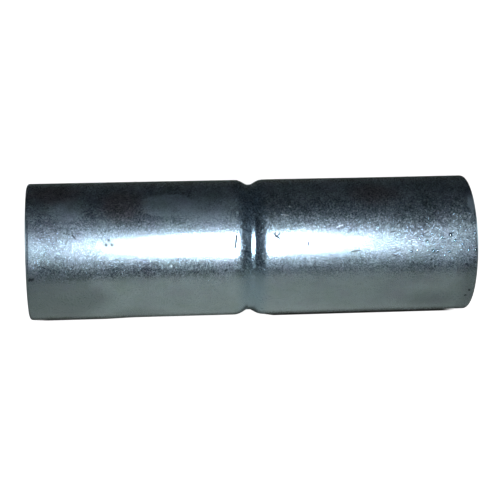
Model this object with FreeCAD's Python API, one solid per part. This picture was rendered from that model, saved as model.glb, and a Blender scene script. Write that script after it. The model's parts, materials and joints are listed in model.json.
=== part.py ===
"""Rail sleeve: a rigid coupling that joins two round fence rails end to end.

A steel strip is rolled round until its edges meet, and a seam weld joins them into a tube. A groove is then
rolled into the tube at mid-length. Inside, the groove stands up as a ring that stops each rail, so each half of
the sleeve is a socket of equal depth. The edges of the cut ends are rounded, the outer ones more, and the finished
sleeve is dipped in zinc.

Frame: origin at the centre of the sleeve, +X along its axis, +Z up. All sizes are in millimetres.
"""

import FreeCAD
import Part
import math
import os

# Driving dimensions. The rail is sold as 1 5/8 in, and measures 1.660 in outside.
LENGTH = 152.4
RAIL_DIAMETER = 42.16
RAIL_CLEARANCE = 0.42  # radial, so that a rail slides in by hand
STRIP_THICKNESS = 1.9  # 14 gauge
ZINC_THICKNESS = 0.05  # on each face

# The rolled groove, measured on the outside face.
GROOVE_DEPTH = 1.7
GROOVE_FLANK_DEG = 31.0  # slope of the flanks, from the axis
SHOULDER_RADIUS = 6.0
ROOT_RADIUS = 1.0  # on each side of the flat of the root
ROOT_WIDTH = 1.0

# The cut ends.
OUTER_EDGE_RADIUS = 1.2
INNER_EDGE_RADIUS = 0.4

# The seam weld, on the side away from the front and a little below the axis.
SEAM_DIRECTION_DEG = -20.0  # from +Y towards +Z
SEAM_WIDTH = 1.6
BEAD_WIDTH = 3.2  # the low bead that is left along the inside
BEAD_HEIGHT = 0.18

# Sizes that follow from the ones above.
WALL = STRIP_THICKNESS + 2 * ZINC_THICKNESS
INNER_RADIUS = RAIL_DIAMETER / 2 + RAIL_CLEARANCE
OUTER_RADIUS = INNER_RADIUS + WALL
HALF_LENGTH = LENGTH / 2
FLANK = math.radians(GROOVE_FLANK_DEG)
SOCKET_BORE = 2 * INNER_RADIUS
FLANK_LENGTH = (
    GROOVE_DEPTH - (SHOULDER_RADIUS + ROOT_RADIUS) * (1 - math.cos(FLANK))
) / math.sin(FLANK)
GROOVE_HALF_WIDTH = (
    ROOT_WIDTH / 2 + (SHOULDER_RADIUS + ROOT_RADIUS) * math.sin(FLANK) + FLANK_LENGTH * math.cos(FLANK)
)

AXIS_START = FreeCAD.Vector(0, 0, 0)
AXIS_DIRECTION = FreeCAD.Vector(1, 0, 0)


def point(x, radius):
    """A point of the half section, which lies in the XZ plane above the axis."""
    return FreeCAD.Vector(x, 0, radius)


def line(start, end):
    return Part.LineSegment(start, end).toShape()


def arc(start, middle, end):
    return Part.Arc(start, middle, end).toShape()


def on_circle(centre_x, centre_radius, radius, angle):
    """The point of a section circle at an angle measured from straight outwards, towards +X."""
    return point(centre_x + radius * math.sin(angle), centre_radius + radius * math.cos(angle))


def groove_edges(depth):
    """The groove's edges from -X to +X, on the surface that lies this deep inside the outside face.

    Both faces of the wall turn about the same centres, so the wall keeps its thickness through the groove.
    """
    shoulder_radius = SHOULDER_RADIUS - depth
    root_radius = ROOT_RADIUS + depth
    shoulder_centre = OUTER_RADIUS - SHOULDER_RADIUS
    root_centre = OUTER_RADIUS - GROOVE_DEPTH + ROOT_RADIUS

    def shoulder(side, angle):
        return on_circle(side * GROOVE_HALF_WIDTH, shoulder_centre, shoulder_radius, -side * angle)

    def root(side, angle):
        return on_circle(side * ROOT_WIDTH / 2, root_centre, root_radius, math.pi - side * angle)

    return [
        arc(shoulder(-1, 0), shoulder(-1, FLANK / 2), shoulder(-1, FLANK)),
        line(shoulder(-1, FLANK), root(-1, FLANK)),
        arc(root(-1, FLANK), root(-1, FLANK / 2), root(-1, 0)),
        line(root(-1, 0), root(1, 0)),
        arc(root(1, 0), root(1, FLANK / 2), root(1, FLANK)),
        line(root(1, FLANK), shoulder(1, FLANK)),
        arc(shoulder(1, FLANK), shoulder(1, FLANK / 2), shoulder(1, 0)),
    ]


def surface_edges(depth, end_x):
    """One face of the wall in section, from -end_x to end_x, with the groove at its middle."""
    radius = OUTER_RADIUS - depth
    return [
        line(point(-end_x, radius), point(-GROOVE_HALF_WIDTH, radius)),
        *groove_edges(depth),
        line(point(GROOVE_HALF_WIDTH, radius), point(end_x, radius)),
    ]


def end_edges(side):
    """A cut end in section: the flat of the cut between the rounded outer and inner edges."""
    outer_centre = (HALF_LENGTH - OUTER_EDGE_RADIUS, OUTER_RADIUS - OUTER_EDGE_RADIUS)
    inner_centre = (HALF_LENGTH - INNER_EDGE_RADIUS, INNER_RADIUS + INNER_EDGE_RADIUS)

    def outer(angle):
        return on_circle(side * outer_centre[0], outer_centre[1], OUTER_EDGE_RADIUS, side * angle)

    def inner(angle):
        return on_circle(side * inner_centre[0], inner_centre[1], INNER_EDGE_RADIUS, side * angle)

    quarter = math.pi / 2
    return [
        arc(outer(0), outer(quarter / 2), outer(quarter)),
        line(outer(quarter), inner(quarter)),
        arc(inner(quarter), inner(1.5 * quarter), inner(2 * quarter)),
    ]


def whole_wall():
    """The tube as if it had no seam, turned from its half section."""
    edges = [
        *surface_edges(0, HALF_LENGTH - OUTER_EDGE_RADIUS),
        *end_edges(1),
        *surface_edges(WALL, HALF_LENGTH - INNER_EDGE_RADIUS),
        *end_edges(-1),
    ]
    section = Part.Face(Part.Wire(Part.__sortEdges__(edges)))
    return section.revolve(AXIS_START, AXIS_DIRECTION, 360)


def turned_to_seam(shape):
    """A shape made over the axis, towards +Z, turned about the axis to where the seam is."""
    turned = shape.copy()
    turned.rotate(AXIS_START, AXIS_DIRECTION, SEAM_DIRECTION_DEG - 90)
    return turned


def seam_slot():
    """The slot through the wall that the strip's edges leave, and that the weld fills."""
    slot = Part.makeBox(
        2 * LENGTH,
        SEAM_WIDTH,
        2 * WALL + GROOVE_DEPTH,
        FreeCAD.Vector(-LENGTH, -SEAM_WIDTH / 2, INNER_RADIUS - GROOVE_DEPTH - WALL / 2),
    )
    return turned_to_seam(slot)


def inner_bead(wall):
    """The bead along the inside of the seam: a low crown that follows the wall over the stop ring."""
    path = Part.Wire(surface_edges(WALL, HALF_LENGTH - INNER_EDGE_RADIUS))
    start_x = -(HALF_LENGTH - INNER_EDGE_RADIUS)
    sides = [FreeCAD.Vector(start_x, side * BEAD_WIDTH / 2, INNER_RADIUS) for side in (-1, 1)]
    roots = [corner + FreeCAD.Vector(0, 0, WALL / 2) for corner in sides]
    crown = FreeCAD.Vector(start_x, 0, INNER_RADIUS - BEAD_HEIGHT)
    section = Part.Wire(
        [
            arc(sides[0], crown, sides[1]),
            line(sides[1], roots[1]),
            line(roots[1], roots[0]),
            line(roots[0], sides[0]),
        ]
    )
    swept = path.makePipeShell([section], True, False)
    return turned_to_seam(swept).cut(wall)


def seam_weld(wall):
    """The weld: the metal that fills the slot, with the bead along the inside."""
    return wall.common(seam_slot()).fuse(inner_bead(wall)).removeSplitter()


def rolled_strip(wall):
    """The strip: the wall without the seam's slot."""
    return wall.cut(seam_slot())


def single_solid(shape):
    """The one solid that a boolean result holds. A part of the sleeve that came out in pieces is a mistake."""
    if len(shape.Solids) != 1 or not shape.Solids[0].isValid():
        raise ValueError(f"expected one valid solid, and got {len(shape.Solids)}")
    return shape.Solids[0]


def main():
    os.makedirs("parts", exist_ok=True)
    wall = whole_wall()
    nodes = {
        "rolled_strip": rolled_strip(wall),
        "seam_weld": seam_weld(wall),
    }
    for name, shape in nodes.items():
        solid = single_solid(shape)
        solid.exportStep(f"parts/{name}.step")
        print(f"{name}: {solid.Volume:.1f} mm3")
    print(f"socket bore {SOCKET_BORE:.2f} mm, outside diameter {2 * OUTER_RADIUS:.2f} mm")
    print(f"groove width {2 * GROOVE_HALF_WIDTH:.2f} mm")


main()
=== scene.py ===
"""The looks of a galvanised rail sleeve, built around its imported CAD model.

The strip and the weld are modelled again as finer meshes, with the waves and the leaning groove of a real
sleeve, and stand for the CAD nodes. Small drops of zinc sit on them. Everything is in metres, in the CAD
model's frame: +X along the sleeve, +Z up, and the front towards -Y. A place on the sleeve is an x and an angle
round the axis, from the front upwards. In the lists of places and inside the materials, lengths are in
millimetres and angles in degrees.
"""

import json
import math
import random
from functools import cached_property

import bmesh
import bpy
from mathutils import Matrix, Vector, noise
from mathutils.geometry import tessellate_polygon


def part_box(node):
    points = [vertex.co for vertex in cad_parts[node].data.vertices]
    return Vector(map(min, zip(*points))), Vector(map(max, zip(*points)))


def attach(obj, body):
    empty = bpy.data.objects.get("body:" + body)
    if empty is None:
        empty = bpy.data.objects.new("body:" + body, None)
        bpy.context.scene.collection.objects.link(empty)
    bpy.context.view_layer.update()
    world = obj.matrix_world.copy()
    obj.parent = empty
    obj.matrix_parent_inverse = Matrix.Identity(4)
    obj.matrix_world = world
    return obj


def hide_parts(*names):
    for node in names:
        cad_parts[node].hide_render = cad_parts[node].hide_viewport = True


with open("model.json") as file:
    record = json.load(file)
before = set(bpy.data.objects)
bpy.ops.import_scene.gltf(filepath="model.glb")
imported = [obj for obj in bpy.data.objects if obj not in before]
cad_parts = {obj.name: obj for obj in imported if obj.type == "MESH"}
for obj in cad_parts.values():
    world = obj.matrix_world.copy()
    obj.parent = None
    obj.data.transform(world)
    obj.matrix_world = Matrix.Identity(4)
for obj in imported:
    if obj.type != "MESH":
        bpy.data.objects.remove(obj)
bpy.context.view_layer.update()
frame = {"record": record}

MM = 0.001
SOCKET = next(mount for mount in frame["record"]["mounts"] if mount["name"] == "right_socket")

# Sizes from the CAD model.
HALF_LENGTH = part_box("rolled_strip")[1].x
OUTER_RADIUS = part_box("rolled_strip")[1].z
INNER_RADIUS = SOCKET["dims"]["r_mm"] * MM
WALL = OUTER_RADIUS - INNER_RADIUS
GROOVE_DEPTH = 1.7 * MM
FLANK = math.radians(31)
SHOULDER_RADIUS = 6.0 * MM
ROOT_RADIUS = 1.0 * MM
ROOT_WIDTH = 1.0 * MM
OUTER_EDGE_RADIUS = 1.2 * MM
INNER_EDGE_RADIUS = 0.4 * MM
SEAM_ANGLE = math.radians(200)
SEAM_WIDTH = 1.6 * MM
BEAD_WIDTH = 3.2 * MM
BEAD_HEIGHT = 0.18 * MM
FLANK_LENGTH = (
    GROOVE_DEPTH - (SHOULDER_RADIUS + ROOT_RADIUS) * (1 - math.cos(FLANK))
) / math.sin(FLANK)
GROOVE_HALF_WIDTH = (
    ROOT_WIDTH / 2 + (SHOULDER_RADIUS + ROOT_RADIUS) * math.sin(FLANK) + FLANK_LENGTH * math.cos(FLANK)
)

# The groove was rolled a little out of square: it stands off the middle by a shift, and swings by the lean to
# each side of that on its way round. Both fade out at the reach.
LEAN = 0.5 * MM
LEAN_SHIFT = -0.3 * MM
LEAN_REACH = 16 * MM

# The waves in the sleeve's surface: their length, their height, and where their noise starts.
WAVES = [
    (38 * MM, 0.05 * MM, (0, 0, 0)),
    (9 * MM, 0.012 * MM, (7, 3, 5)),
    (3.2 * MM, 0.004 * MM, (1, 8, 2)),
]

# The weld: how far it dips between its edges outside, how deep the bead sits in the wall, and the bead's
# ripples.
WELD_DIP = 0.03 * MM
BEAD_ROOT = 0.03 * MM
RIPPLE_HEIGHT = 0.03 * MM
RIPPLE_LENGTH = 1.7 * MM
RIPPLE_DRIFT = 6 * MM

# How close together the meshes have their vertices.
OUTSIDE_STEP = 0.78 * MM
OUTSIDE_GROOVE_STEP = 0.26 * MM
INSIDE_STEP = 1.9 * MM
INSIDE_GROOVE_STEP = 0.5 * MM
WELD_STEP = 0.4 * MM
COLUMN_STEP = 0.0036  # round the sleeve, as a share of the way
NEAR_SEAM = [0, 0.0006, 0.0016, 0.004]  # the closer columns beside the seam, as shares too
OUTER_EDGE_STEPS = 8
INNER_EDGE_STEPS = 5
WELD_STEPS_ACROSS = 8
SHARP_FROM = math.radians(50)

# The camera. Its angle is round the sleeve's axis, up from level.
CAMERA_ANGLE = math.radians(45)
CAMERA_X = -0.0461
CAMERA_DISTANCE = 0.5265
CAMERA_TURN = math.radians(5.05)
CAMERA_TILT = math.radians(-0.12)
CAMERA_ROLL = math.radians(-1.37)
CAMERA_LENS = 108.9


def around(x, radius, angle):
    """The point at this angle round the axis, from the front upwards."""
    return Vector((x, -radius * math.cos(angle), radius * math.sin(angle)))


# ---------------------------------------------------------------- camera


def make_camera():
    """In front of the sleeve, a little to the left of its middle, looking down on it."""
    data = bpy.data.cameras.new("camera")
    data.lens = CAMERA_LENS
    camera = bpy.data.objects.new("camera", data)
    bpy.context.scene.collection.objects.link(camera)
    level = Matrix.Translation((CAMERA_X, -CAMERA_DISTANCE, 0)) @ Matrix.Rotation(-CAMERA_TURN, 4, "Z")
    aimed = level @ Matrix.Rotation(math.pi / 2 + CAMERA_TILT, 4, "X") @ Matrix.Rotation(CAMERA_ROLL, 4, "Z")
    camera.matrix_world = Matrix.Rotation(-CAMERA_ANGLE, 4, "X") @ aimed
    bpy.context.scene.camera = camera


# ---------------------------------------------------------------- the wall's shape


def groove_drop(x, depth):
    """How far in the groove takes the surface at x, on the face this deep inside the outside face."""
    shoulder = SHOULDER_RADIUS - depth
    root = ROOT_RADIUS + depth
    foot = ROOT_WIDTH / 2 + root * math.sin(FLANK)
    brow = GROOVE_HALF_WIDTH - shoulder * math.sin(FLANK)
    away = abs(x)
    if away >= GROOVE_HALF_WIDTH:
        return 0.0
    if away > brow:
        return shoulder - math.sqrt(shoulder**2 - (GROOVE_HALF_WIDTH - away) ** 2)
    if away < foot:
        off_root = max(0.0, away - ROOT_WIDTH / 2)
        return GROOVE_DEPTH - root + math.sqrt(root**2 - off_root**2)
    return GROOVE_DEPTH - root * (1 - math.cos(FLANK)) - (away - foot) * math.tan(FLANK)


def spread(start, end, step):
    """Evenly spaced values from start up to end, without end itself."""
    count = max(1, round(abs(end - start) / step))
    return [start + (end - start) * i / count for i in range(count)]


def stations(end_x, plain_step, groove_step):
    """The x values at which one face of the wall has its rings, closer together across the groove."""
    zone = GROOVE_HALF_WIDTH + 0.5 * MM
    return [
        *spread(-end_x, -zone, plain_step),
        *spread(-zone, zone, groove_step),
        *spread(zone, end_x, plain_step),
        end_x,
    ]


def edge_arc(centre_radius, edge_radius, first, last, steps):
    """Points between the ends of one rounded edge of the right end, as (x, radius) pairs.

    Angles are from straight outwards, towards the end.
    """
    centre_x = HALF_LENGTH - edge_radius
    turns = [first + (last - first) * i / steps for i in range(1, steps)]
    return [
        (centre_x + edge_radius * math.sin(turn), centre_radius + edge_radius * math.cos(turn))
        for turn in turns
    ]


def wall_section():
    """The wall's section as a closed loop of (x, radius) pairs: outside, right end, inside and left end."""
    outside = stations(HALF_LENGTH - OUTER_EDGE_RADIUS, OUTSIDE_STEP, OUTSIDE_GROOVE_STEP)
    inside = stations(HALF_LENGTH - INNER_EDGE_RADIUS, INSIDE_STEP, INSIDE_GROOVE_STEP)
    quarter = math.pi / 2
    outer_corner = OUTER_RADIUS - OUTER_EDGE_RADIUS
    inner_corner = INNER_RADIUS + INNER_EDGE_RADIUS
    outer = edge_arc(outer_corner, OUTER_EDGE_RADIUS, 0, quarter, OUTER_EDGE_STEPS)
    inner = edge_arc(inner_corner, INNER_EDGE_RADIUS, quarter, 2 * quarter, INNER_EDGE_STEPS)
    cut_middle = (outer_corner + inner_corner) / 2
    flat = [(HALF_LENGTH, radius) for radius in (outer_corner, cut_middle, inner_corner)]
    right_end = [*outer, *flat, *inner]
    left_end = [(-x, radius) for x, radius in reversed(right_end)]
    return [
        *[(x, OUTER_RADIUS - groove_drop(x, 0)) for x in outside],
        *right_end,
        *[(x, INNER_RADIUS - groove_drop(x, WALL)) for x in reversed(inside)],
        *left_end,
    ]


def surface_height(place):
    """How far the zinc stands out from the ideal surface: long waves from rolling, and a fine orange peel."""
    return sum(height * noise.noise(place / length + Vector(start)) for length, height, start in WAVES)


def groove_lean(place):
    """How far the surface is moved along the sleeve, for the groove to lean."""
    angle = math.atan2(place.z, -place.y)
    share = min(1.0, max(0.0, (LEAN_REACH - abs(place.x)) / (LEAN_REACH - GROOVE_HALF_WIDTH)))
    return share * (LEAN_SHIFT + LEAN * math.sin(angle - CAMERA_ANGLE))


def roughen(mesh):
    """Moves every vertex along its normal by the height of the zinc there, and leans the groove."""
    moves = [
        vertex.normal * surface_height(vertex.co) + Vector((groove_lean(vertex.co), 0, 0))
        for vertex in mesh.vertices
    ]
    for vertex, move in zip(mesh.vertices, moves):
        vertex.co += move


def add_piece(name, points, faces, material):
    """A mesh that rides on the sleeve, smooth except along its sharp edges."""
    mesh = bpy.data.meshes.new(name)
    mesh.from_pydata(points, [], faces)
    turned_out = bmesh.new()
    turned_out.from_mesh(mesh)
    bmesh.ops.recalc_face_normals(turned_out, faces=turned_out.faces)
    turned_out.to_mesh(mesh)
    turned_out.free()
    mesh.shade_smooth()
    mesh.set_sharp_from_angle(angle=SHARP_FROM)
    mesh.materials.append(material)
    piece = bpy.data.objects.new(name, mesh)
    bpy.context.scene.collection.objects.link(piece)
    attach(piece, "root")
    return piece


def loop_faces(columns, ring):
    """Quads between neighbouring columns, each column a closed ring of vertices."""
    return [
        (
            column * ring + i,
            column * ring + (i + 1) % ring,
            (column + 1) * ring + (i + 1) % ring,
            (column + 1) * ring + i,
        )
        for column in range(columns - 1)
        for i in range(ring)
    ]


def cap_faces(flat_outline, first):
    """Triangles that close an outline whose vertices start at first."""
    triangles = tessellate_polygon([[Vector((*corner, 0)) for corner in flat_outline]])
    return [tuple(first + i for i in triangle) for triangle in triangles]


def strip_columns():
    """Shares of the way round from one edge of the seam to the other, closer together beside the seam."""
    middle = spread(NEAR_SEAM[-1], 1 - NEAR_SEAM[-1], COLUMN_STEP)
    return [*NEAR_SEAM, *middle[1:], *[1 - share for share in reversed(NEAR_SEAM)]]


def make_strip(material):
    """The rolled strip: the wall's section carried round the axis from one edge of the seam to the other."""
    section = wall_section()
    columns = strip_columns()
    points = []
    for share in columns:
        for x, radius in section:
            gap = math.asin(SEAM_WIDTH / 2 / radius)
            points.append(around(x, radius, SEAM_ANGLE + gap + share * (2 * math.pi - 2 * gap)))
    last = (len(columns) - 1) * len(section)
    faces = [
        *loop_faces(len(columns), len(section)),
        *cap_faces(section, 0),
        *cap_faces(section, last),
    ]
    strip = add_piece("rolled_strip_detail", points, faces, material)
    roughen(strip.data)
    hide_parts("rolled_strip")
    return strip


def rounding(x, edge_radius):
    """How far a cut end's rounded edge takes the face back at x."""
    past = min(edge_radius, max(0.0, abs(x) - (HALF_LENGTH - edge_radius)))
    return edge_radius - math.sqrt(edge_radius**2 - past**2)


def outer_radius(x):
    """The outside face's radius at x, with the groove and the rounded edges of the cut ends."""
    return OUTER_RADIUS - groove_drop(x, 0) - rounding(x, OUTER_EDGE_RADIUS)


def inner_radius(x):
    """The inside face's radius at x, with the stop ring and the rounded edges of the cut ends."""
    return INNER_RADIUS - groove_drop(x, WALL) + rounding(x, INNER_EDGE_RADIUS)


def weld_section(x):
    """The weld's section at x as a closed loop of (sideways, radius) pairs: the fill, then the bead."""
    across = [-1 + 2 * i / WELD_STEPS_ACROSS for i in range(WELD_STEPS_ACROSS + 1)]
    fill = [(share * SEAM_WIDTH / 2, outer_radius(x) - WELD_DIP * (1 - share**2)) for share in across]
    ripple = RIPPLE_HEIGHT * math.sin(2 * math.pi * x / RIPPLE_LENGTH)
    crown = BEAD_HEIGHT + ripple * (1 + noise.noise(Vector((x / RIPPLE_DRIFT, 4, 9))))
    root = inner_radius(x) + BEAD_ROOT
    bead = [
        (share * BEAD_WIDTH / 2, root - (crown + BEAD_ROOT) * (1 - share**2))
        for share in reversed(across)
    ]
    return [*fill, (SEAM_WIDTH / 2, root), *bead, (-SEAM_WIDTH / 2, root)]


def make_weld(material):
    """The seam weld, from one cut end to the other, flush outside and with its rippled bead inside."""
    turns = [math.pi / 2 * i / OUTER_EDGE_STEPS for i in range(1, OUTER_EDGE_STEPS + 1)]
    right_end = [HALF_LENGTH - OUTER_EDGE_RADIUS * (1 - math.sin(turn)) for turn in turns]
    middle = stations(HALF_LENGTH - OUTER_EDGE_RADIUS, WELD_STEP, OUTSIDE_GROOVE_STEP)
    columns = [*[-x for x in reversed(right_end)], *middle, *right_end]
    sections = [weld_section(x) for x in columns]
    points = [
        around(x, radius, SEAM_ANGLE + math.asin(sideways / radius))
        for x, section in zip(columns, sections)
        for sideways, radius in section
    ]
    ring = len(sections[0])
    faces = [
        *loop_faces(len(columns), ring),
        *cap_faces(sections[0], 0),
        *cap_faces(sections[-1], (len(columns) - 1) * ring),
    ]
    weld = add_piece("seam_weld_detail", points, faces, material)
    roughen(weld.data)
    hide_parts("seam_weld")
    return weld


# ---------------------------------------------------------------- zinc drops


# A drop's outline from its foot to just below its top, as shares of its size: (reach, height).
DROP_PROFILE = [(1.05, -0.12), (1.0, 0.12), (0.88, 0.4), (0.66, 0.62), (0.35, 0.76)]
DROP_TOP = 0.8
DROP_SIDES = 12

# Drops as (x, angle, size): a cluster near the right end, and a row of tiny ones right of the groove near the
# top.
CLUSTER = [
    (66.5, 51, 0.85), (63.5, 49, 0.6), (68, 46, 0.65), (58.5, 46, 0.55), (60.5, 38, 0.7), (62, 38, 0.65),
    (66, 37, 0.6), (55, 39, 0.5), (57, 51, 0.45), (60, 52, 0.45), (70.5, 43, 0.5), (72.5, 38, 0.45),
    (75, 52, 0.6), (75, 38, 0.65), (52.5, 47, 0.55), (64.5, 34, 0.5), (53, 38, 0.55), (56, 48, 0.55),
]
ROW = [(9.5 + 0.6 * i, 71, 0.18) for i in range(4)]

# Drops scattered at random over the top, the back and the bottom.
SCATTERED = 60
SCATTER_ALONG = 0.97  # of the sleeve's half length
SCATTER_ANGLES = (110, 310)
SCATTER_SIZES = (0.12, 0.3)


def drop_mesh(x, angle, size):
    """Points and faces of one hard drop of zinc: a low dome, closed just under the sleeve's surface."""
    out = around(0, 1, angle)
    along = Vector((1, 0, 0))
    over = out.cross(along)
    foot = around(x, outer_radius(x), angle)
    foot += out * surface_height(foot)
    points = []
    for reach, height in DROP_PROFILE:
        for i in range(DROP_SIDES):
            turn = 2 * math.pi * i / DROP_SIDES
            side = along * math.cos(turn) + over * math.sin(turn)
            points.append(foot + (side * reach + out * height) * size)
    points.append(foot + out * DROP_TOP * size)
    top = len(points) - 1
    last = top - DROP_SIDES
    rings = loop_faces(len(DROP_PROFILE), DROP_SIDES)
    crown = [(last + i, last + (i + 1) % DROP_SIDES, top) for i in range(DROP_SIDES)]
    return points, [*rings, *crown, tuple(range(DROP_SIDES))]


def drop_places():
    """The (x, angle, size) of every drop, in metres and radians."""
    places = [(x * MM, math.radians(angle), size * MM) for x, angle, size in [*CLUSTER, *ROW]]
    chance = random.Random(4)
    for _ in range(SCATTERED):
        x = chance.uniform(-SCATTER_ALONG, SCATTER_ALONG) * HALF_LENGTH
        angle = math.radians(chance.uniform(*SCATTER_ANGLES))
        places.append((x, angle, chance.uniform(*SCATTER_SIZES) * MM))
    return places


def make_drops(material):
    """The small hard drops that the dip leaves, as one mesh."""
    points, faces = [], []
    for place in drop_places():
        drop_points, drop_faces = drop_mesh(*place)
        faces += [tuple(len(points) + i for i in face) for face in drop_faces]
        points += drop_points
    return add_piece("zinc_drops", points, faces, material)


# ---------------------------------------------------------------- materials

# The grain, a mix of smooth zinc and specks that scatter more: the roughness of each, the size of the specks,
# how much of the noise counts as specks, and the size of the broad clouds and how far they shift that.
SMOOTH = 0.2
ROUGH = 0.5
SPECK = 0.12
SPECK_LOW = 0.47
SPECK_HIGH = 0.62
CLOUD_SIZE = 6.0
CLOUD = 0.03

# The crystals in the grain: their size, how far their own chance counts, and the chances from which one is
# bright and below which one is dark.
CRYSTAL = 0.42
CRYSTAL_SHARE = 0.12
BRIGHT_FROM = 0.8
DARK_TO = 0.02

# The grain's relief: its height, how much of it is uneven ground between crystals, and how far plain crystals
# tilt beside bright ones.
GRAIN_HEIGHT = 0.1 * MM
UNEVEN = 0.13
PLAIN_TILT = 0.15

ZINC_LIGHT = (0.55, 0.625, 0.67)
ZINC_DARK = (0.46, 0.525, 0.565)
ZINC_STAIN = (0.34, 0.4, 0.44)
ZINC_SMEAR = (0.62, 0.68, 0.7)
ZINC_DROP = (0.72, 0.78, 0.82)
VIOLET = (0.5, 0.5, 0.6)
GREEN = (0.44, 0.54, 0.5)
BROWN = (0.4, 0.3, 0.3)
# Painted shade: a darker blue laid over the groove, where its flanks look dark.
GROOVE_PAINTED_SHADE = (0.27, 0.42, 0.55)
INSIDE_GREY = (0.36, 0.39, 0.4)
WELD_LIGHT = (0.62, 0.67, 0.7)
SCRATCH = (0.9, 0.93, 0.95)
PIT = (0.02, 0.022, 0.025)
PIT_ROUGHNESS = 0.6

# How much of the light a stain leaves, and how far each of the other colours, the groove's painted shade among
# them, covers the zinc where it is full.
STAIN_LEAVES = 0.74
BROWN_COVER = 0.6
GROOVE_SHADE_COVER = 0.45
BRIGHT_COVER = 0.8
DARK_COVER = 0.9
BEAD_COVER = 0.6

# How much duller or smoother the grain is in places, on the scale from SPECK_LOW to SPECK_HIGH.
GROOVE_SMOOTHER = 0.04
SCRATCH_DULLER = 0.3
ENDS_DULLER = 0.15
RUNS_DULLER = 0.25
BEAD_DULLER = 0.15

# How far the planed lines reach to each side of the seam.
PLANED_REACH = 4.5

# The radius between the inside face and the root of the groove outside.
SKIN_MIDDLE = INNER_RADIUS / MM + 0.15
# The same for the weld, whose bead stands a little into the wall.
BEAD_MIDDLE = SKIN_MIDDLE - 0.02

# Patches of duller and smoother zinc: how much duller or smoother, then x, angle, half sizes along x, y and z,
# and the softness of the edge. The stained, brown and pitted patches have no such strength.
DULL_PATCHES = [
    (0.1, -28, 84, (9.5, 5, 4), 0.12),
    (0.08, -16, 80, (12, 5, 4), 0.5),
    (0.09, -63, 80, (6, 5, 4), 0.5),
    (0.3, 75.6, 80, (1.5, 2.6, 2.6), 0.9),
    (0.05, -76, 40, (4, 14, 14), 0.5),
]
SMOOTH_PATCHES = [
    (0.045, -38, 25, (20, 4.5, 4), 0.7),
    (0.03, 20, 74, (22, 6, 5), 0.8),
    (0.05, 57, 68, (14, 8, 6), 0.8),
]
STAINS = [
    (-68, -6, (15, 17, 17), 0.3),
    (-56, 2, (7, 3, 5), 0.5),
    (-38, -24, (9, 4, 4), 0.7),
    (76, 5, (5, 16, 16), 0.6),
    (60, -12, (8, 4, 4), 0.8),
]
BROWN_PATCHES = [
    (-44, 86, (7, 7, 6), 0.5),
    (-67, 100, (9, 5, 5), 0.6),
    (42, 93, (8, 5, 4), 0.6),
]
PITTED_PATCH = (34, 44, (26, 5, 5))

# Marks as the (x, angle) places of their two ends, and their width. A dot is a very short mark.
DARK_MARKS = [
    ((-60.5, 58), (-59.5, 54.5), 0.6),
    ((-49.5, 49.5), (-49.5, 49), 1.1),
    ((-48.5, 53.5), (-48.5, 53), 0.9),
    ((-47.5, 49.5), (-47.5, 49), 0.9),
    ((-6, 54), (-6.5, 45.5), 0.75),
    ((-6.5, 45.5), (-6.5, 45), 0.9),
    ((6.5, 55.5), (7.5, 52.5), 0.6),
    ((7, 56), (7, 53), 0.55),
    ((8.5, 55), (7, 53), 0.6),
    ((7.5, 53.5), (8.5, 51), 0.55),
    ((4.5, 41.5), (5.5, 43), 0.45),
    ((-10, 25.5), (-9.5, 26.5), 0.8),
    ((-8.5, 30), (-8.5, 30.5), 0.6),
    ((-75, 22), (-74, 22), 1.2),
    ((72, 26), (72.5, 25.5), 1.3),
    ((73, -6), (73, -6.5), 0.8),
    ((74, 0.5), (74, 0), 0.8),
    ((3.5, 40), (3.5, 39), 0.5),
    ((18, 47.5), (18, 45.5), 0.6),
    ((32.5, 39), (35.5, 40), 0.5),
    ((46, 54.5), (48, 55), 0.6),
    ((40.5, 58), (41, 58), 0.45),
]
BRIGHT_SCRATCHES = [
    ((9.5, 71.5), (11.5, 71), 0.4),
    ((28, 59.5), (30, 61.5), 0.3),
    ((-28, 31), (-28, 30.5), 0.6),
    ((2.5, 36), (2.5, 35.5), 0.6),
    ((12.5, 79), (12.5, 79.5), 0.5),
]


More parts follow.
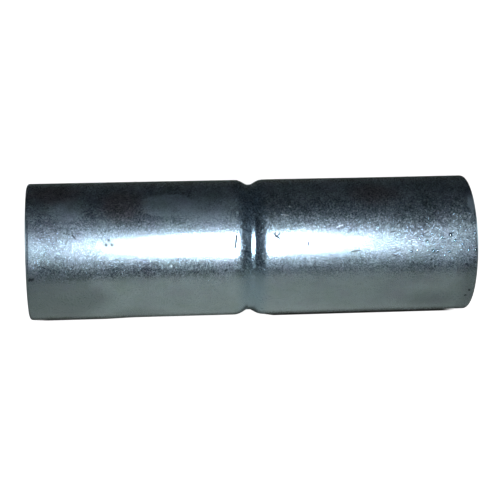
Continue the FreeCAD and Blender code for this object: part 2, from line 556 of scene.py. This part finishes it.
class Shading:
    """A material's node tree, with a short call for each kind of step. Lengths in it are in millimetres."""

    def __init__(self, name):
        self.material = bpy.data.materials.new(name)
        self.material.use_nodes = True
        self.tree = self.material.node_tree
        self.shader = self.tree.nodes["Principled BSDF"]
        place = self.add("ShaderNodeTexCoord").outputs["Object"]
        self.place = self.vector("SCALE", place, Scale=1 / MM)

    @cached_property
    def edges(self):
        """Noise round 0 that makes the edges of patches ragged."""
        return self.math("SUBTRACT", self.noise(3.0, 3.0, 0.6), 0.5)

    @cached_property
    def fine_edges(self):
        """Noise round 0 that makes the edges of short marks ragged."""
        return self.math("SUBTRACT", self.noise(0.5, 2.0, 0.6, offset=(3, 4, 8)), 0.5)

    def add(self, kind, inputs=(), **properties):
        """A new node. Each input is a value, or the socket that feeds it."""
        node = self.tree.nodes.new(kind)
        for name, value in properties.items():
            setattr(node, name, value)
        for key, value in dict(inputs).items():
            self.feed(node.inputs[key], value)
        return node

    def feed(self, socket, value):
        """Links a socket to the one that feeds it, or sets its value."""
        if isinstance(value, bpy.types.NodeSocket):
            self.tree.links.new(value, socket)
        else:
            socket.default_value = value

    def vector(self, operation, first, second=None, **others):
        """A step of vector arithmetic. The result is a number for a length, a distance or a dot product."""
        inputs = {0: first, **others}
        if second is not None:
            inputs[1] = second
        node = self.add("ShaderNodeVectorMath", inputs, operation=operation)
        return node.outputs["Value" if operation in ("LENGTH", "DISTANCE", "DOT_PRODUCT") else "Vector"]

    def math(self, operation, first, second=0.0, clamp=False):
        """A step of arithmetic, held between 0 and 1 when clamp is set."""
        node = self.add("ShaderNodeMath", {0: first, 1: second}, operation=operation, use_clamp=clamp)
        return node.outputs[0]

    def remap(self, value, low, high, to_low=0.0, to_high=1.0, smooth=False):
        """value's range low to high, carried to to_low to to_high, and held there outside it."""
        kind = "SMOOTHSTEP" if smooth else "LINEAR"
        inputs = {"Value": value, "From Min": low, "From Max": high, "To Min": to_low, "To Max": to_high}
        return self.add("ShaderNodeMapRange", inputs, interpolation_type=kind).outputs["Result"]

    def noise(self, size, detail=2.0, roughness=0.5, stretch=(1, 1, 1), offset=(0, 0, 0)):
        """Noise from 0 to 1 whose features are about this many millimetres across, times stretch."""
        scaled = self.vector("DIVIDE", self.place, stretch)
        moved = self.vector("ADD", scaled, offset)
        inputs = {"Vector": moved, "Scale": 1 / size, "Detail": detail, "Roughness": roughness}
        return self.add("ShaderNodeTexNoise", inputs).outputs["Fac"]

    def mix(self, share, first, second):
        """Two colours mixed by a share from 0 to 1."""
        node = self.add("ShaderNodeMix", data_type="RGBA")
        self.feed(node.inputs["Factor"], share)
        for key, colour in (("A", first), ("B", second)):
            socket = next(s for s in node.inputs if s.name == key and s.type == "RGBA")
            self.feed(socket, colour if isinstance(colour, bpy.types.NodeSocket) else (*colour, 1))
        return next(s for s in node.outputs if s.type == "RGBA")

    def most(self, shares):
        """The largest of several shares."""
        shares = list(shares)
        largest = shares[0]
        for share in shares[1:]:
            largest = self.math("MAXIMUM", largest, share)
        return largest

    def stroke(self, start, end, width):
        """A share that is 1 along a short mark. Its ends are (x, angle) places on the outside surface."""
        first, last = (around(x, OUTER_RADIUS / MM, math.radians(angle)) for x, angle in (start, end))
        run = last - first
        from_first = self.vector("SUBTRACT", self.place, tuple(first))
        along = self.vector("DOT_PRODUCT", from_first, tuple(run / run.length_squared))
        nearest = self.vector("SCALE", tuple(run), Scale=self.math("ADD", along, 0, clamp=True))
        away = self.vector("DISTANCE", from_first, nearest)
        ragged = self.math("ADD", away, self.math("MULTIPLY", self.fine_edges, 1.3 * width))
        return self.remap(ragged, 0.2 * width, 0.8 * width, 1.0, 0.0, smooth=True)

    def crystals(self, size):
        """Small flat crystals: each one's own chance, and the height of its facet, which leans at random."""
        cells = self.add("ShaderNodeTexVoronoi", {"Vector": self.place, "Scale": 1 / size})
        middle = cells.outputs["Position"]
        own = self.add("ShaderNodeTexWhiteNoise", {"Vector": middle}).outputs["Value"]
        lean = self.vector("SUBTRACT", cells.outputs["Color"], (0.5, 0.5, 0.5))
        return own, self.vector("DOT_PRODUCT", lean, self.vector("SUBTRACT", self.place, middle))

    def pits(self, spacing, width):
        """A share that is 1 in small round pits, in about one cell of this spacing in three."""
        cells = self.add("ShaderNodeTexVoronoi", {"Vector": self.place, "Scale": 1 / spacing})
        pit = self.remap(cells.outputs["Distance"], 0.35 * width / spacing, 0.65 * width / spacing, 1.0, 0.0)
        chosen = self.add("ShaderNodeSeparateColor", {"Color": cells.outputs["Color"]}).outputs["Red"]
        return self.math("MULTIPLY", pit, self.math("GREATER_THAN", chosen, 0.65))

    def patch(self, x, angle, size, softness=0.5, ragged=0.35):
        """A share that is 1 in a patch of the outside surface and 0 away from it.

        size is half the patch's size along x, y and z.
        """
        centre = around(x, OUTER_RADIUS / MM, math.radians(angle))
        offset = self.vector("SUBTRACT", self.place, tuple(centre))
        reach = self.vector("LENGTH", self.vector("DIVIDE", offset, size))
        edge = self.math("MULTIPLY", self.edges, 2 * ragged)
        return self.remap(self.math("ADD", reach, edge), 1 - softness, 1 + softness, 1.0, 0.0, smooth=True)


def add_grain(s, dullness, marks=None):
    """The zinc's fine grain: smooth, with specks that scatter more light, more of them where it is duller.

    Returns the roughness. marks is the height of coarser marks, in steps of the grain's own height.
    """
    clouds = s.noise(CLOUD_SIZE, 3.0, 0.6, offset=(4, 7, 2))
    specks = s.noise(SPECK, 1.0, 0.5, offset=(9, 2, 6))
    chance, tilt = s.crystals(CRYSTAL)
    bright = s.remap(chance, BRIGHT_FROM, BRIGHT_FROM + 0.1)
    dark = s.remap(chance, DARK_TO, DARK_TO - 0.05)
    cloudy = s.math("ADD", s.remap(clouds, 0.3, 0.7, -CLOUD, CLOUD), specks)
    spotted = s.math("ADD", cloudy, s.math("MULTIPLY", s.math("SUBTRACT", bright, dark), CRYSTAL_SHARE))
    share = s.remap(s.math("ADD", spotted, dullness), SPECK_LOW, SPECK_HIGH)
    facets = s.math("MULTIPLY", tilt, s.remap(bright, 0, 1, PLAIN_TILT, 1.0))
    height = s.math("ADD", facets, s.math("MULTIPLY", s.noise(CRYSTAL, 1.0, 0.5, offset=(2, 6, 1)), UNEVEN))
    if marks is not None:
        height = s.math("ADD", height, marks)
    bump = s.add("ShaderNodeBump", {"Height": height, "Strength": 1.0, "Distance": GRAIN_HEIGHT})
    s.feed(s.shader.inputs["Normal"], bump.outputs["Normal"])
    return s.remap(share, 0, 1, SMOOTH, ROUGH)


def add_tone(s):
    """Grey-blue zinc that drifts lighter and darker, and between a violet and a green cast."""
    tone = s.noise(18.0, 4.0, 0.6)
    cast = s.noise(8.0, 3.0, 0.6, offset=(1, 5, 9))
    fine = s.noise(0.9, 2.0, 0.6)
    smears = s.noise(5.0, 3.0, 0.6, stretch=(4, 1, 1), offset=(6, 1, 3))
    colour = s.mix(s.remap(tone, 0.35, 0.65), ZINC_LIGHT, ZINC_DARK)
    colour = s.mix(s.remap(smears, 0.45, 0.7, 0.0, 0.45), colour, ZINC_SMEAR)
    colour = s.mix(s.remap(cast, 0.52, 0.72, 0.0, 0.5), colour, VIOLET)
    colour = s.mix(s.remap(cast, 0.48, 0.28, 0.0, 0.5), colour, GREEN)
    return s.mix(s.remap(fine, 0.48, 0.72, 0.0, 0.3), colour, ZINC_STAIN)


def along_sleeve(s):
    """The x of the place, in mm."""
    return s.add("ShaderNodeSeparateXYZ", {0: s.place}).outputs["X"]


def inside_share(s, middle):
    """A share that is 1 on the inside face and 0 on the outside one. middle is the radius between them."""
    flat = s.vector("MULTIPLY", s.place, (0, 1, 1))
    return s.remap(s.vector("LENGTH", flat), middle - 0.05, middle + 0.05, 1.0, 0.0)


def end_share(s):
    """A share that is 1 on the cut ends and 0 elsewhere."""
    from_middle = s.math("ABSOLUTE", along_sleeve(s))
    end = HALF_LENGTH / MM
    return s.remap(from_middle, end - 0.35, end - 0.15)


def groove_share(s):
    """A share that is 1 in the root of the groove and fades out over its shoulders."""
    from_root = s.math("ABSOLUTE", s.math("SUBTRACT", along_sleeve(s), LEAN_SHIFT / MM))
    half_width = GROOVE_HALF_WIDTH / MM
    return s.remap(from_root, 0.3 * half_width, 1.3 * half_width, 1.0, 0.0, smooth=True)


def planed_lines(s):
    """Where the weld was planed: fine lines along the seam, and a share that fades out beside it."""
    lines = s.noise(0.5, 2.0, 0.5, stretch=(40, 1, 1))
    out = around(0, 1, SEAM_ANGLE)
    sideways = Vector((1, 0, 0)).cross(out)
    away = s.math("ABSOLUTE", s.vector("DOT_PRODUCT", s.place, tuple(sideways)))
    seam_side = s.remap(s.vector("DOT_PRODUCT", s.place, tuple(out)), 0, 1)
    return lines, s.math("MULTIPLY", seam_side, s.remap(away, PLANED_REACH, 0.5 * PLANED_REACH, smooth=True))


def scaled_patches(s, patches):
    """The largest of several patches, each scaled by its own strength."""
    return s.most(s.math("MULTIPLY", s.patch(*place), strength) for strength, *place in patches)


def strip_dullness(s, inside, groove, ends, bright, runs):
    """How much duller than plain the strip's grain is. It is less than 0 where the grain is smoother."""
    smooth = s.math("ADD", scaled_patches(s, SMOOTH_PATCHES), s.math("MULTIPLY", groove, GROOVE_SMOOTHER))
    dullness = s.math("SUBTRACT", scaled_patches(s, DULL_PATCHES), smooth)
    dullness = s.math("ADD", dullness, s.math("MULTIPLY", bright, SCRATCH_DULLER))
    dull_runs = s.remap(runs, 0.35, 0.65, 0.0, RUNS_DULLER)
    dullness = s.math("ADD", dullness, s.math("MULTIPLY", inside, dull_runs))
    return s.math("ADD", dullness, s.math("MULTIPLY", ends, ENDS_DULLER))


def strip_relief(s, ends):
    """The height of the saw's lines on the cut ends and the plane's lines beside the seam."""
    sawn = s.noise(0.6, 2.0, 0.5, stretch=(1, 20, 1), offset=(5, 1, 1))
    lines, planed = planed_lines(s)
    return s.math("ADD", s.math("MULTIPLY", ends, sawn), s.math("MULTIPLY", planed, lines))


def strip_colour(s, inside, groove, bright, runs):
    """The strip's colour without its dark marks."""
    brown = s.most(s.patch(*place) for place in BROWN_PATCHES)
    stain = s.most(s.patch(*place) for place in STAINS)
    colour = s.mix(s.math("MULTIPLY", brown, BROWN_COVER), add_tone(s), BROWN)
    # Painted shade: the groove's colour is darkened towards blue.
    colour = s.mix(s.math("MULTIPLY", groove, GROOVE_SHADE_COVER), colour, GROOVE_PAINTED_SHADE)
    grey = s.math("MULTIPLY", inside, s.remap(runs, 0.3, 0.7, 0.25, 0.8))
    colour = s.mix(grey, colour, INSIDE_GREY)
    colour = s.mix(stain, colour, s.vector("SCALE", colour, Scale=STAIN_LEAVES))
    return s.mix(s.math("MULTIPLY", bright, BRIGHT_COVER), colour, SCRATCH)


def dark_marks(s):
    """A share that is 1 in the strip's pits, and nearly 1 in its dark strokes."""
    strokes = s.most(s.stroke(*line) for line in DARK_MARKS)
    pitted = s.math("MULTIPLY", s.pits(1.3, 0.16), s.patch(*PITTED_PATCH))
    return s.most([s.pits(5.0, 0.22), pitted, s.math("MULTIPLY", strokes, DARK_COVER)])


def finish_metal(s, colour, roughness, pits):
    """Feeds the shader of a metal with pits."""
    s.feed(s.shader.inputs["Base Color"], s.mix(pits, colour, PIT))
    s.feed(s.shader.inputs["Roughness"], s.remap(pits, 0, 1, roughness, PIT_ROUGHNESS))
    s.shader.inputs["Metallic"].default_value = 1.0
    return s.material


def strip_zinc(name):
    """Hot-dip zinc on the strip, with stains, scratches and pits, planed beside the seam and dull inside."""
    s = Shading(name)
    inside = inside_share(s, SKIN_MIDDLE)
    groove = groove_share(s)
    ends = end_share(s)
    bright = s.most(s.stroke(*line) for line in BRIGHT_SCRATCHES)
    runs = s.noise(2.5, 3.0, 0.6, stretch=(14, 1, 1), offset=(2, 2, 8))
    dullness = strip_dullness(s, inside, groove, ends, bright, runs)
    roughness = add_grain(s, dullness, strip_relief(s, ends))
    return finish_metal(s, strip_colour(s, inside, groove, bright, runs), roughness, dark_marks(s))


def weld_zinc(name):
    """Zinc over the weld: planed smooth outside, and coarse and dull on the bead inside."""
    s = Shading(name)
    inside = inside_share(s, BEAD_MIDDLE)
    lines, planed = planed_lines(s)
    dullness = s.remap(inside, 0, 1, s.remap(lines, 0.4, 0.6, -0.1, 0.05), BEAD_DULLER)
    roughness = add_grain(s, dullness, s.math("MULTIPLY", planed, lines))
    colour = s.mix(s.remap(lines, 0.45, 0.65, 0.0, 0.6), WELD_LIGHT, ZINC_DARK)
    colour = s.mix(s.math("MULTIPLY", inside, BEAD_COVER), colour, INSIDE_GREY)
    return finish_metal(s, colour, roughness, s.pits(2.2, 0.3))


def drop_zinc(name):
    """The hard drops: brighter and smoother than the sheet, with a wrinkled skin."""
    s = Shading(name)
    wrinkles = s.noise(0.25, 2.0, 0.5)
    bump = s.add("ShaderNodeBump", {"Height": wrinkles, "Strength": 0.4, "Distance": GRAIN_HEIGHT})
    s.feed(s.shader.inputs["Base Color"], s.mix(s.remap(wrinkles, 0.4, 0.6), ZINC_DROP, ZINC_LIGHT))
    s.feed(s.shader.inputs["Roughness"], s.remap(wrinkles, 0.3, 0.7, 0.08, 0.17))
    s.feed(s.shader.inputs["Normal"], bump.outputs["Normal"])
    s.shader.inputs["Metallic"].default_value = 1.0
    return s.material


# ---------------------------------------------------------------- stage

# The glow of the table that the sleeve reflects: a glowing sheet that stands in for a lit table, with painted
# shade in the gap under the sleeve. A pool of full light lies round one x and fades to a share at the sides.
# Behind the sleeve the table glows more. Pairs are where a change starts and where it ends, as x or y in mm.
TABLE_LIGHT = (0.305, 0.342, 0.318)
TABLE_PAINTED_SHADE = (0.038, 0.039, 0.032)
POOL_X = -12
POOL_FADE = (10, 110)
TABLE_SIDE = 0.62
TABLE_BEHIND = 0.6
PAINTED_SHADE_FRONT = (-19, -16)
PAINTED_SHADE_BACK = (13, 18)
BEHIND_END = (70, 100)

# The table's outline, as (x, y) points in metres. Its front edge bulges forward in front of the sleeve.
TABLE_BACK_EDGE = [(2, 2), (-2, 2)]
TABLE_FRONT_EDGE = [
    (-2, -0.22), (-0.09, -0.25), (-0.05, -0.5), (0.03, -1),
    (0.08, -1), (0.12, -0.5), (0.15, -0.25), (2, -0.22),
]

# The floor's own glow, and its painted shadow, a dark strip under the sleeve: where its front edge starts and
# how much further forward that is right of the groove and at the left end, where it fades at the back and at
# the ends, and the notch in it in front of the groove. All but the glow are in mm.
FLOOR_GLOW = 0.8
PAINTED_SHADOW_FRONT = (-10.4, -10.2)
PAINTED_SHADOW_FORWARD = 0.9
PAINTED_SHADOW_FORWARD_LEFT = 0.45
PAINTED_SHADOW_RIGHT = (5, 9)
PAINTED_SHADOW_LEFT = (-50, -40)
PAINTED_SHADOW_BACK = (6, 26)
PAINTED_SHADOW_END = (70, 75.5)
PAINTED_SHADOW_NOTCH = (4, 6)
PAINTED_SHADOW_NOTCH_BACK = (-5, -1)

# The floor's reach to each side, and the dome over it, in metres.
FLOOR_REACH = 6
DOME_RADIUS = 5
DOME_SIDES = 48
DOME_STEPS = 12

# The wide light on the floor, the bright light beside the camera, the dim lights off the ends, and the room.
FLOOR_LIGHT = 1.8
FLOOR_LIGHT_X = -0.09
FLOOR_LIGHT_ANGLE = math.radians(46)
FLOOR_LIGHT_SPREAD = math.radians(20)
KEY_X = 0.012
KEY_DISTANCE = 0.26
KEY_ANGLE = math.radians(3.8)  # above the camera, round the sleeve's axis
KEY_WIDTH = 0.06
KEY_HEIGHT = 0.14
KEY_COLOUR = (0.72, 0.86, 1.0)
KEY_ENERGY = 0.82
SIDE_X = 0.9
SIDE_Z = 0.14
SIDE_SIZE = 0.35
SIDE_COLOUR = (0.75, 0.9, 1.0)
SIDE_ENERGY = 0.8
ROOM = (0.0098, 0.0118, 0.0144)


def dull_material(name):
    """A stage material without any gloss, and the place, in mm, for the nodes that colour it."""
    s = Shading(name)
    s.shader.inputs["Roughness"].default_value = 1.0
    s.shader.inputs["Specular IOR Level"].default_value = 0.0
    return s, s.add("ShaderNodeSeparateXYZ", {0: s.place}).outputs


def floor_material():
    """A pale floor with an even glow, so that shadows on it stay pale, and a painted shadow in a dark strip
    under the sleeve.
    """
    s, place = dull_material("pale_floor")
    s.shader.inputs["Emission Color"].default_value = (1, 1, 1, 1)
    right = s.remap(place["X"], *PAINTED_SHADOW_RIGHT, 0.0, PAINTED_SHADOW_FORWARD)
    left = s.remap(place["X"], *PAINTED_SHADOW_LEFT, PAINTED_SHADOW_FORWARD_LEFT, 0.0)
    front = s.remap(s.math("ADD", place["Y"], s.math("ADD", right, left)), *PAINTED_SHADOW_FRONT)
    back = s.remap(place["Y"], *PAINTED_SHADOW_BACK, 1.0, 0.0, smooth=True)
    from_groove = s.math("ABSOLUTE", place["X"])
    notch = s.math("MAXIMUM", s.remap(from_groove, *PAINTED_SHADOW_NOTCH), s.remap(place["Y"], *PAINTED_SHADOW_NOTCH_BACK))
    along = s.math("MULTIPLY", s.remap(from_groove, *PAINTED_SHADOW_END, 1.0, 0.0, smooth=True), notch)
    # Painted shadow: the floor under the sleeve is coloured dark and loses its glow.
    strip = s.math("MULTIPLY", along, s.math("MULTIPLY", front, back))
    s.feed(s.shader.inputs["Base Color"], s.mix(strip, (0.9, 0.9, 0.9), (0.05, 0.05, 0.05)))
    s.feed(s.shader.inputs["Emission Strength"], s.remap(strip, 0, 1, FLOOR_GLOW, 0.0))
    return s.material


def backdrop_material():
    """A plain glowing white."""
    s, _ = dull_material("pale_backdrop")
    s.shader.inputs["Emission Color"].default_value = (1, 1, 1, 1)
    s.shader.inputs["Emission Strength"].default_value = 1.0
    return s.material


def add_stage(name, points, faces, material):
    """A stage surface that casts no shadow and lights nothing but what reflects it."""
    mesh = bpy.data.meshes.new(name)
    mesh.from_pydata(points, [], faces)
    mesh.materials.append(material)
    surface = bpy.data.objects.new(name, mesh)
    bpy.context.scene.collection.objects.link(surface)
    surface.visible_shadow = False
    surface.visible_diffuse = False
    return surface


def add_flat(name, outline, z, material):
    """A flat stage surface at one height, inside an outline of (x, y) points."""
    return add_stage(name, [(x, y, z) for x, y in outline], [tuple(range(len(outline)))], material)


def add_dome(radius, z, material):
    """A pale dome over the floor, as the backdrop that a low view looks at."""
    points = [(0, 0, z + radius)]
    for step in range(1, DOME_STEPS + 1):
        fall = math.pi / 2 * step / DOME_STEPS
        reach = radius * math.sin(fall)
        height = z + radius * math.cos(fall)
        for side in range(DOME_SIDES):
            turn = 2 * math.pi * side / DOME_SIDES
            points.append((reach * math.cos(turn), reach * math.sin(turn), height))
    crown = [(0, 1 + side, 1 + (side + 1) % DOME_SIDES) for side in range(DOME_SIDES)]
    bands = [tuple(1 + i for i in face) for face in loop_faces(DOME_STEPS, DOME_SIDES)]
    return add_stage("backdrop", points, [*crown, *bands], material)


def table_material():
    """The reflected table, a glowing sheet: a grey-green pool of light round the sleeve, with painted shade in
    the gap under it.
    """
    s, place = dull_material("table")
    from_pool = s.math("ABSOLUTE", s.math("SUBTRACT", place["X"], POOL_X))
    pool = s.remap(from_pool, *POOL_FADE, 1.0, TABLE_SIDE, smooth=True)
    front = s.remap(place["Y"], *PAINTED_SHADE_FRONT, 1.0, 0.0, smooth=True)
    past_gap = s.remap(place["Y"], *PAINTED_SHADE_BACK, smooth=True)
    behind = s.math("MULTIPLY", past_gap, s.remap(place["Y"], *BEHIND_END, 1.0, 0.0, smooth=True))
    # Painted shade: the table is dark in the gap under the sleeve.
    colour = s.mix(behind, s.mix(front, TABLE_PAINTED_SHADE, TABLE_LIGHT), TABLE_LIGHT)
    strength = s.math("ADD", s.math("MULTIPLY", behind, TABLE_BEHIND), 1.0)
    s.shader.inputs["Base Color"].default_value = (0, 0, 0, 1)
    s.feed(s.shader.inputs["Emission Color"], colour)
    s.feed(s.shader.inputs["Emission Strength"], s.math("MULTIPLY", pool, strength))
    return s.material


def make_stage():
    """A pale floor with a painted shadow under the sleeve, a backdrop, and the glowing grey-green table with
    painted shade under the sleeve, that the sleeve reflects in the floor's place.
    """
    level = -OUTER_RADIUS
    square = [(FLOOR_REACH * x, FLOOR_REACH * y) for x, y in ((-1, -1), (1, -1), (1, 1), (-1, 1))]
    floor = add_flat("floor", square, level, floor_material())
    backdrop = add_dome(DOME_RADIUS, level, backdrop_material())
    for surface in (floor, backdrop):
        surface.visible_glossy = False
    outline = [*TABLE_BACK_EDGE, *TABLE_FRONT_EDGE]
    table = add_flat("table", outline, level - 0.5 * MM, table_material())
    table.visible_camera = False


def add_light(kind, name, energy, colour, location, **settings):
    """A light that points at the middle of the sleeve and doesn't show itself."""
    data = bpy.data.lights.new(name, kind)
    data.energy = energy
    data.color = colour
    for key, value in settings.items():
        setattr(data, key, value)
    light = bpy.data.objects.new(name, data)
    bpy.context.scene.collection.objects.link(light)
    light.location = location
    light.rotation_mode = "QUATERNION"
    light.rotation_quaternion = (-Vector(location)).to_track_quat("-Z", "Y")
    light.visible_camera = False
    return light


def light_floor():
    """A wide soft light from the front, for the floor's pale shadows."""
    place = around(FLOOR_LIGHT_X, 1, FLOOR_LIGHT_ANGLE)
    light = add_light("SUN", "front_light", FLOOR_LIGHT, (1, 1, 1), place, angle=FLOOR_LIGHT_SPREAD)
    light.visible_glossy = False


def light_sleeve():
    """A small bright light beside the camera, for the highlight, and a dim one off each end."""
    shape = {"shape": "ELLIPSE", "size": KEY_WIDTH, "size_y": KEY_HEIGHT}
    place = around(KEY_X, KEY_DISTANCE, CAMERA_ANGLE + KEY_ANGLE)
    lights = [add_light("AREA", "key_light", KEY_ENERGY, KEY_COLOUR, place, **shape)]
    for side in (-1, 1):
        place = (side * SIDE_X, 0, SIDE_Z)
        name = f"side_light_{side}"
        lights.append(add_light("AREA", name, SIDE_ENERGY, SIDE_COLOUR, place, size=SIDE_SIZE))
    for light in lights:
        light.visible_diffuse = False


def make_room():
    """A dark, slightly blue room round the stage, for the sleeve to reflect."""
    world = bpy.data.worlds.new("room")
    world.use_nodes = True
    world.node_tree.nodes["Background"].inputs["Color"].default_value = (*ROOM, 1)
    bpy.context.scene.world = world


make_camera()
make_strip(strip_zinc("galvanised_strip"))
make_weld(weld_zinc("galvanised_weld"))
make_drops(drop_zinc("galvanised_drops"))
make_stage()
light_floor()
light_sleeve()
make_room()
bpy.context.scene.view_settings.view_transform = "Standard"
